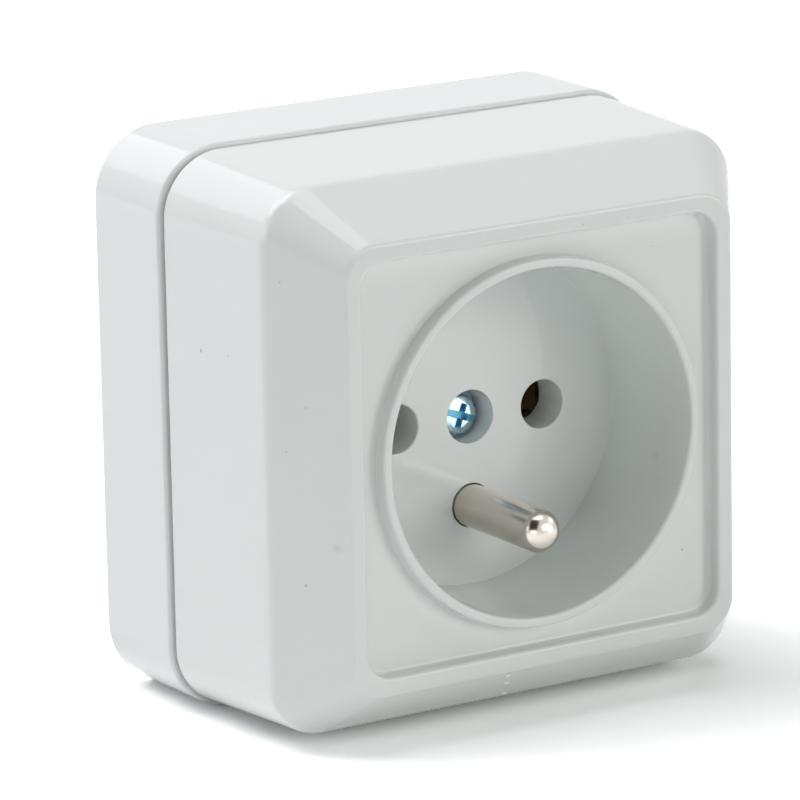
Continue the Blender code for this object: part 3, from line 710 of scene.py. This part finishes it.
# %% A geometry tree with named sizes
class Rule(Tree):
    """A Geometry Nodes tree with named inputs, which makes one kind of piece."""

    def __init__(self, name, **sizes):
        super().__init__(bpy.data.node_groups.new(name, "GeometryNodeTree"))
        self.sockets = {}
        for size, usual in sizes.items():
            kind = "NodeSocketInt" if isinstance(usual, int) else "NodeSocketFloat"
            socket = self.tree.interface.new_socket(size.replace("_", " "), in_out="INPUT", socket_type=kind)
            socket.default_value = usual
            self.sockets[size] = socket.identifier
        self.tree.interface.new_socket("Geometry", in_out="OUTPUT", socket_type="NodeSocketGeometry")
        entry = self.tree.nodes.new("NodeGroupInput")
        self.size = {size: Value(self, entry.outputs[k]) for k, size in enumerate(sizes)}

    def vector(self, x=0.0, y=0.0, z=0.0):
        return self.node("ShaderNodeCombineXYZ", None, {"X": x, "Y": y, "Z": z})

    def placed(self, shape, **inputs):
        """The shape with its points at a Position or moved by an Offset."""
        return self.node("GeometryNodeSetPosition", None, {"Geometry": shape, **inputs})

    def boolean(self, operation, first, *others):
        made = self.node("GeometryNodeMeshBoolean", {"operation": operation, "solver": "EXACT"})
        join = made.socket.node
        if operation == "DIFFERENCE":
            self.feed(join.inputs["Mesh 1"], first)
        else:
            others = (first, *others)
        for other in others:
            self.tree.links.new(other.socket, join.inputs["Mesh 2"])
        return made

    def close(self, shape, finish):
        real = self.node("GeometryNodeRealizeInstances", None, {"Geometry": shape})
        painted = self.node("GeometryNodeSetMaterial", None, {"Geometry": real, "Material": finish})
        leave = self.tree.nodes.new("NodeGroupOutput")
        self.tree.links.new(painted.socket, leave.inputs[0])
        print(self.tree.name, "nodes:", len(self.tree.nodes))

    def make(self, name, **sizes):
        """One piece by this rule, as a plain mesh."""
        piece = linked(name, bpy.data.meshes.new(name))
        step = piece.modifiers.new("rule", "NODES")
        step.node_group = self.tree
        for size, value in sizes.items():
            step[self.sockets[size]] = value
        return plain(piece)


# %% [markdown]
# ## Three pips on the lower bevel
# Three tiny raised pips stand in a slanting row on the lower bevel and catch the light. Points on a line and
# one small pressed ball on each of them are a job for instances. The row's rule spreads them out a little as
# it goes.

# %% Pips
ROW_START = Vector((-0.0044, -0.0400, -0.0255))
ROW_END = Vector((-0.0013, -0.0345, -0.0294))

pip_rule = Rule("row_of_pips", count=3, across=0.001, along=0.001, spread=1.27, width=0.00046, height=0.00024,
                rise=0.00026)
pip = pip_rule.size
line = pip_rule.node("GeometryNodeMeshLine", None, {"Count": pip["count"]})
index = pip_rule.node("GeometryNodeInputIndex")
far = (index / (pip["count"] - 1.0)) ** pip["spread"]
row = pip_rule.placed(line, Position=pip_rule.vector(pip["across"] * far, pip["along"] * far, 0.0))
bead = pip_rule.node("GeometryNodeMeshUVSphere", None, {"Segments": 20, "Rings": 12, "Radius": 1.0})
pressed = pip_rule.vector(pip["width"], pip["height"], pip["rise"])
pips = pip_rule.node("GeometryNodeInstanceOnPoints", None, {"Points": row, "Instance": bead, "Scale": pressed})
pip_rule.close(pips, cover_white)

slope = -Vector((0.0, SHOULDER_D - BODY_D, SHOULDER_HALF - RIM_HALF)).normalized()
run = ROW_END - ROW_START
bevel_pips = pip_rule.make("bevel_pips", across=run.x, along=run.dot(slope))
across = Vector((1, 0, 0))
lay = Matrix((across, slope, across.cross(slope))).transposed().to_4x4()
bevel_pips.data.transform(Matrix.Translation(ROW_START) @ lay)
finished(bevel_pips, cover_white, "cover_plastic", angle=60)

# %% [markdown]
# ## The earth pin
# The pin is turned: a plain shank and a dome a little flatter than a ball, with a faint crease where they meet.
# It is one section, revolved. The far end of the section is the collar and the riveted foot behind the floor.

# %% Earth pin
pin_low, pin_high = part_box("earth_pin")
TIP = -pin_low.y
FOOT_BACK = -pin_high.y
FOOT_FRONT = 0.0039
FOOT_R = 0.0023
NECK_R = 0.0015
FLANGE_BACK = 0.0077
FLANGE_FRONT = 0.0093
FLANGE_R = 0.0035
FLANGE_FILLET = 0.0002
SHANK_D = 0.0200
DOME = 0.0019
DOME_STEPS = 24

dome_radius = (PIN_R ** 2 + DOME ** 2) / (2 * DOME)
dome_angle = math.asin(PIN_R / dome_radius)
dome = [(dome_radius * math.sin(t), TIP - dome_radius + dome_radius * math.cos(t))
        for t in np.linspace(dome_angle, 0.0, DOME_STEPS)]
foot = [(0.0, FOOT_BACK), (FOOT_R, FOOT_BACK), (FOOT_R, FOOT_FRONT)]
neck = [(NECK_R, FOOT_FRONT), (NECK_R, FLANGE_BACK)]
shank_section = filleted([
    (FLANGE_R, FLANGE_BACK, 0),
    (FLANGE_R, FLANGE_FRONT, FLANGE_FILLET),
    (PIN_R, FLANGE_FRONT, FLANGE_FILLET),
    (PIN_R, SHANK_D, 0),
])
pin_section = foot + neck + shank_section + dome[:-1] + [(0.0, TIP)]
earth_pin_turned = turned("earth_pin_turned", pin_section, (EARTH.x, EARTH.z), 96)
finished(earth_pin_turned, nickel, "nickel_plate", "earth_pin", angle=40)

# %% [markdown]
# ## The cover screw
# The head sits deep in its recess. It is low and domed, with a slot right across and a shorter, deeper cross,
# so that either driver fits. The slot and the cross are cut with the same turn as the solid's. In the
# photograph the screw leans on the lower side of its clearance hole, so the axis is a quarter of a millimetre
# low.

# %% Cover screw
screw_low, screw_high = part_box("cover_screw")
HEAD_TOP = -screw_low.y
POINT = -screw_high.y
SEAT = SCREW_SEAT + 0.0003
HEAD_R = 0.00225
HEAD_SIDE = 0.0004
CROWN_R = HEAD_R * 0.6
SHANK_R = 0.00165
POINT_R = 0.00102
POINT_TAPER = 0.00085
SCREW_DROP = 0.00025
DRIVER_TURN = math.radians(20)
# Each cut has its name, its width, its height and its depth below the top of the head.
DRIVERS = [
    ("slot", 0.010, 0.0007, 0.0006),
    ("cross_a", 0.0026, 0.0008, 0.0012),
    ("cross_b", 0.0008, 0.0028, 0.0012),
]

screw_section = filleted([
    (0.0, POINT, 0),
    (POINT_R, POINT, 0),
    (SHANK_R, POINT + POINT_TAPER, 0),
    (SHANK_R, SEAT, 0.0002),
    (HEAD_R, SEAT, 0.0001),
    (HEAD_R, HEAD_TOP - HEAD_SIDE, 0.0003),
    (CROWN_R, HEAD_TOP, 0.0010),
    (0.0, HEAD_TOP, 0),
])
cover_screw_turned = turned("cover_screw_turned", screw_section, (0.0, -SCREW_DROP))
turn = Matrix.Translation((0.0, 0.0, -SCREW_DROP)) @ Matrix.Rotation(DRIVER_TURN, 4, "Y")
driver_cuts = []
for name, width, height, depth in DRIVERS:
    cut = prism(name, rounded_rectangle(width, height, 0.0001, 3), HEAD_TOP - depth, HEAD_TOP + 0.002)
    cut.data.transform(turn)
    driver_cuts.append(cut)
carved(cover_screw_turned, [], driver_cuts)

# %% [markdown]
# Zinc plate gets its blue from a thin film. In the slot and the cross the blue turns darker with depth, as
# painted shade of those hollows. So the colour follows the depth below the top of the head.

# %% Blue film and painted shade on the screw
DEEP_FILM_AND_SHADE = (0.09, 0.32, 0.46)
TOP_ZINC = (0.62, 0.76, 0.82)
FILM_AND_SHADE_STRENGTH = 0.9
SHADE_START = 0.0002
SHADE_RUN = 0.0003
SCRATCH = 0.0005

passivated = Finish("passivated_zinc", Metallic=1.0)
along = passivated.node("ShaderNodeSeparateXYZ", None, {"Vector": passivated.where()}, "Y")
# Painted shade: the colour turns dark blue with depth below the top of the head, in the slot and the cross.
sunk_painted_shade = passivated.node("ShaderNodeClamp", None, {"Value": (along + HEAD_TOP - SHADE_START) / SHADE_RUN})
scratches = passivated.noise(SCRATCH, 3.0)
film_and_painted_shade = passivated.mix(sunk_painted_shade * FILM_AND_SHADE_STRENGTH, TOP_ZINC, DEEP_FILM_AND_SHADE)
passivated.set(Base_Color=film_and_painted_shade, Roughness=0.2 + scratches * 0.15, Normal=passivated.bump(scratches, 0.000003))
finished(cover_screw_turned, passivated.material, "zinc_plate", "cover_screw")

# %% [markdown]
# ## The inner screws, by rule
# Three terminal screws and two carrier screws differ only in their sizes, so one Geometry Nodes tree makes them
# all. A cylinder with fine rings is the shank: each point is pushed out by a wave that runs up the screw once
# for each turn round it, which is what a thread is. A sphere pressed towards a box, with its lower half laid
# flat, is the cheese head. A Boolean joins the two and cuts the slot.

# %% The screw's rule
RING_STEPS = 88
ROUND_STEPS = 32
SQUARENESS = 0.35
TIP_TAPER = 0.45
SHANK_SINK = 0.46
LEAST_SPREAD = 0.0001

screw_rule = Rule("cheese_head_screw", head_radius=0.0023, head_height=0.0019, shank_radius=0.0014,
                  shank_length=0.0052, pitch=0.0005, thread=0.00017, slot_width=0.0008, slot_depth=0.0007)
screw = screw_rule.size
shank_sizes = {"Vertices": ROUND_STEPS, "Side Segments": RING_STEPS, "Radius": screw["shank_radius"],
               "Depth": screw["shank_length"]}
cylinder = screw_rule.node("GeometryNodeMeshCylinder", None, shank_sizes)
point = screw_rule.node("GeometryNodeInputPosition")
x, y, z = (screw_rule.node("ShaderNodeSeparateXYZ", None, {"Vector": point}, k) for k in range(3))
around = y.maths("ARCTAN2", y, x) / math.tau
wave = z.maths("PINGPONG", z / screw["pitch"] + around, 0.5) * 2.0
tip = z.maths("MINIMUM", (z + screw["shank_length"] / 2.0) / screw["shank_radius"], 1.0)
inward = (1.0 - wave) * screw["thread"] + (1.0 - tip) * screw["shank_radius"] * TIP_TAPER
share = inward / screw["shank_radius"] * -1.0
sink = screw["shank_length"] * -SHANK_SINK
shank = screw_rule.placed(cylinder, Offset=screw_rule.vector(x * share, y * share, sink))

ball = screw_rule.node("GeometryNodeMeshUVSphere", None, {"Segments": 48, "Rings": 24, "Radius": 1.0})
spread = z.maths("SQRT", x * x + y * y)
least = spread.maths("MAXIMUM", spread, LEAST_SPREAD)
wide = screw["head_radius"] * least ** SQUARENESS / least
tall = screw["head_height"] * z.maths("MAXIMUM", z, 0.0) ** SQUARENESS
head = screw_rule.placed(ball, Position=screw_rule.vector(x * wide, y * wide, tall))
whole = screw_rule.boolean("UNION", head, shank)
blade = screw_rule.vector(screw["head_radius"] * 3.0, screw["slot_width"], screw["slot_depth"] * 2.0)
cutter = screw_rule.node("GeometryNodeMeshCube", None, {"Size": blade})
cutter = screw_rule.placed(cutter, Offset=screw_rule.vector(z=screw["head_height"]))
screw_rule.close(screw_rule.boolean("DIFFERENCE", whole, cutter), zinc)

# %% [markdown]
# Each screw is made to the measure of its solid. Its seat, which the solid's box doesn't give, is the head's
# height below the top, and the slot is turned a little differently on each, as a hand leaves it.

# %% Five inner screws
TERMINAL = {"head_radius": 0.0023, "head_height": 0.0019, "shank_radius": 0.0014}
FIXING = {"head_radius": 0.0025, "head_height": 0.0018, "shank_radius": 0.00135}
INNER_SCREWS = [
    ("terminal_screw_left", TERMINAL, 12),
    ("terminal_screw_right", TERMINAL, -31),
    ("earth_screw", TERMINAL, 48),
    ("carrier_screw_left", FIXING, 75),
    ("carrier_screw_right", FIXING, -8),
]
for node, screw_sizes, turn_degrees in INNER_SCREWS:
    low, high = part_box(node)
    length = high.y - low.y - screw_sizes["head_height"]
    threaded = screw_rule.make(f"{node}_threaded", shank_length=length, **screw_sizes)
    centre = middle(node)
    seat = Vector((centre.x, low.y + screw_sizes["head_height"], centre.z))
    stand = Matrix.Rotation(math.pi / 2, 4, "X") @ Matrix.Rotation(math.radians(turn_degrees), 4, "Z")
    threaded.data.transform(Matrix.Translation(seat) @ stand)
    finished(threaded, zinc, "zinc_plate", node, angle=25)

# %% [markdown]
# ## The pieces inside
# The carrier, the contacts and the terminals keep their solids, whose shapes are right, and get their finishes.

# %% Finishes of the inner pieces
inner_finish = {
    "carrier_plastic": carrier_ivory,
    "brass": brass,
    "zinc_plate": zinc,
    "spring_steel": spring_steel,
}
slot_of = {row["node"]: row["material_slot"] for row in frame["record"]["subparts"]}
for node, solid in frame["nodes"].items():
    if slot_of[node] in inner_finish and not solid.hide_render:
        solid.data.materials.clear()
        solid.data.materials.append(inner_finish[slot_of[node]])
        print("kept:", node)

# %% [markdown]
# ## The studio
# The outlet stands on a white table in a white room. For light, the table is an ordinary matt white. To the
# camera, to reflections and through glass it is brighter, so it is plain white where light falls freely and
# keeps only the outlet's short, soft shadow, as on the photograph's paper.

# %% Table
TABLE_WHITE = (0.88, 0.88, 0.88)
SEEN_WHITE = (1.6, 1.6, 1.6)
TABLE_R = 0.7


def seen_directly(made):
    """1 for the camera, for reflections and through glass, and 0 for the light itself."""
    kinds = ("Camera", "Glossy", "Transmission")
    looks, shines, passes = (made.node("ShaderNodeLightPath", None, None, f"Is {kind} Ray") for kind in kinds)
    return looks.maths("MAXIMUM", looks.maths("MAXIMUM", looks, shines), passes)


table_mesh = bpy.data.meshes.new("table")
disc = bmesh.new()
bmesh.ops.create_circle(disc, cap_ends=True, segments=96, radius=TABLE_R)
disc.to_mesh(table_mesh)
disc.free()
table_top = linked("table", table_mesh)
table_top.location.z = cad_box[0].z
table_finish = Finish("table_white", Roughness=1.0, Specular_IOR_Level=0.0)
table_finish.set(Base_Color=table_finish.mix(seen_directly(table_finish), TABLE_WHITE, SEEN_WHITE))
table_mesh.materials.append(table_finish.material)
table_top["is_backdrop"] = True
print("table at z:", round(table_top.location.z, 4))

# %% [markdown]
# The room is a world of strength 1 wherever it is seen. It sends no light of its own, because the lamps are
# enough and their directions are what models the bevels and the well.

# %% Room
room = bpy.data.worlds.new("white_room")
room.use_nodes = True
bpy.context.scene.world = room
room_tree = Tree(room.node_tree)
walls = room.node_tree.nodes["Background"]
walls.inputs["Color"].default_value = (1.0, 1.0, 1.0, 1.0)
room_tree.feed(walls.inputs["Strength"], seen_directly(room_tree))
print("room nodes:", len(room.node_tree.nodes))

# %% [markdown]
# Everything else in the room faces the outlet from a direction, given as an azimuth and an elevation. One of
# these things is dark, up beside the camera: a matt black card, as photographers hang to give bright metal an
# edge. The domed end of the pin reflects it as the dark patch on its upper left.


# %% Black card
CARD_W = 0.92
CARD_H = 1.24
CARD_FROM = 1.1
CARD_BLACK = (0.03, 0.03, 0.03, 1.0)


def direction(azimuth, elevation):
    """Unit vector away from the outlet, from degrees. Azimuth 0 is in front and 90 on the right."""
    a, e = math.radians(azimuth), math.radians(elevation)
    return Vector((math.sin(a) * math.cos(e), -math.cos(a) * math.cos(e), math.sin(e)))


card_mesh = bpy.data.meshes.new("black_card")
card_corners = [(x * CARD_W / 2, z * CARD_H / 2, 0) for x, z in ((-1, -1), (1, -1), (1, 1), (-1, 1))]
card_mesh.from_pydata(card_corners, [], [(0, 1, 2, 3)])
card_mesh.materials.append(Finish("card_black", Base_Color=CARD_BLACK, Roughness=1.0).material)
card = linked("black_card", card_mesh)
towards_card = direction(308, 40)
card.location = towards_card * CARD_FROM
card.rotation_euler = towards_card.to_track_quat("Z", "Y").to_euler()
card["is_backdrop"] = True
print("card at:", [round(v, 2) for v in card.location])

# %% [markdown]
# ## Lamps
# Each softbox was tried alone first, and its picture kept. A sum of those pictures was then matched to the
# photograph's own greys on every face, and the shares became the lamps' strengths. The strongest hangs high
# behind on the left, and the back strip is the band that the rounded corners reflect. Each is given by its
# direction, its size and how bright its cloth is.


# %% Softboxes
LAMP_FROM = 1.2
LAMPS_FACE = Vector((0.0, -0.02, 0.0))
# Each lamp has its name, its azimuth and elevation, its width and height, its brightness and its colour.
LAMPS = [
    ("overhead", 0, 88, 0.9, 0.9, 1.58, (0.98, 0.98, 1.0)),
    ("high_back_left", 225, 60, 0.9, 0.9, 3.85, (0.97, 0.97, 1.0)),
    ("back_strip", 195, 35, 0.9, 0.62, 1.0, (0.97, 0.98, 1.0)),
    ("left", 258, 15, 0.8, 0.5, 1.75, (0.95, 0.97, 1.0)),
    ("front_left_low", 310, 5, 0.6, 0.3, 1.95, (0.99, 1.0, 0.97)),
    ("front", 20, 22, 0.9, 0.5, 2.4, (1.0, 1.0, 0.98)),
    ("front_right_low", 40, 8, 0.6, 0.4, 2.7, (1.0, 1.0, 0.98)),
    ("right", 75, 30, 0.6, 0.4, 1.2, (1.0, 0.99, 0.99)),
]

for name, azimuth, elevation, width, height, brightness, colour in LAMPS:
    away = direction(azimuth, elevation)
    data = bpy.data.lights.new(name, "AREA")
    data.shape = "RECTANGLE"
    data.size = width
    data.size_y = height
    data.energy = brightness * math.pi * width * height
    data.color = colour
    lamp = bpy.data.objects.new(name, data)
    lamp.location = LAMPS_FACE + away * LAMP_FROM
    lamp.rotation_euler = away.to_track_quat("Z", "Y").to_euler()
    bpy.context.scene.collection.objects.link(lamp)
print("lamps:", len(LAMPS))

# %% [markdown]
# ## Close
# The standard view transform keeps colours as they are written. How far the dressed model's box has grown
# beyond the solids' box is printed, to show whether it has kept their size.

# %% Finish
bpy.context.scene.view_settings.view_transform = "Standard"
bpy.context.view_layer.update()
dressed_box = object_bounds()
grown = [round((b - a) * 1000, 3) for low, high in zip(cad_box, dressed_box) for a, b in zip(low, high)]
print("grown by mm:", grown)
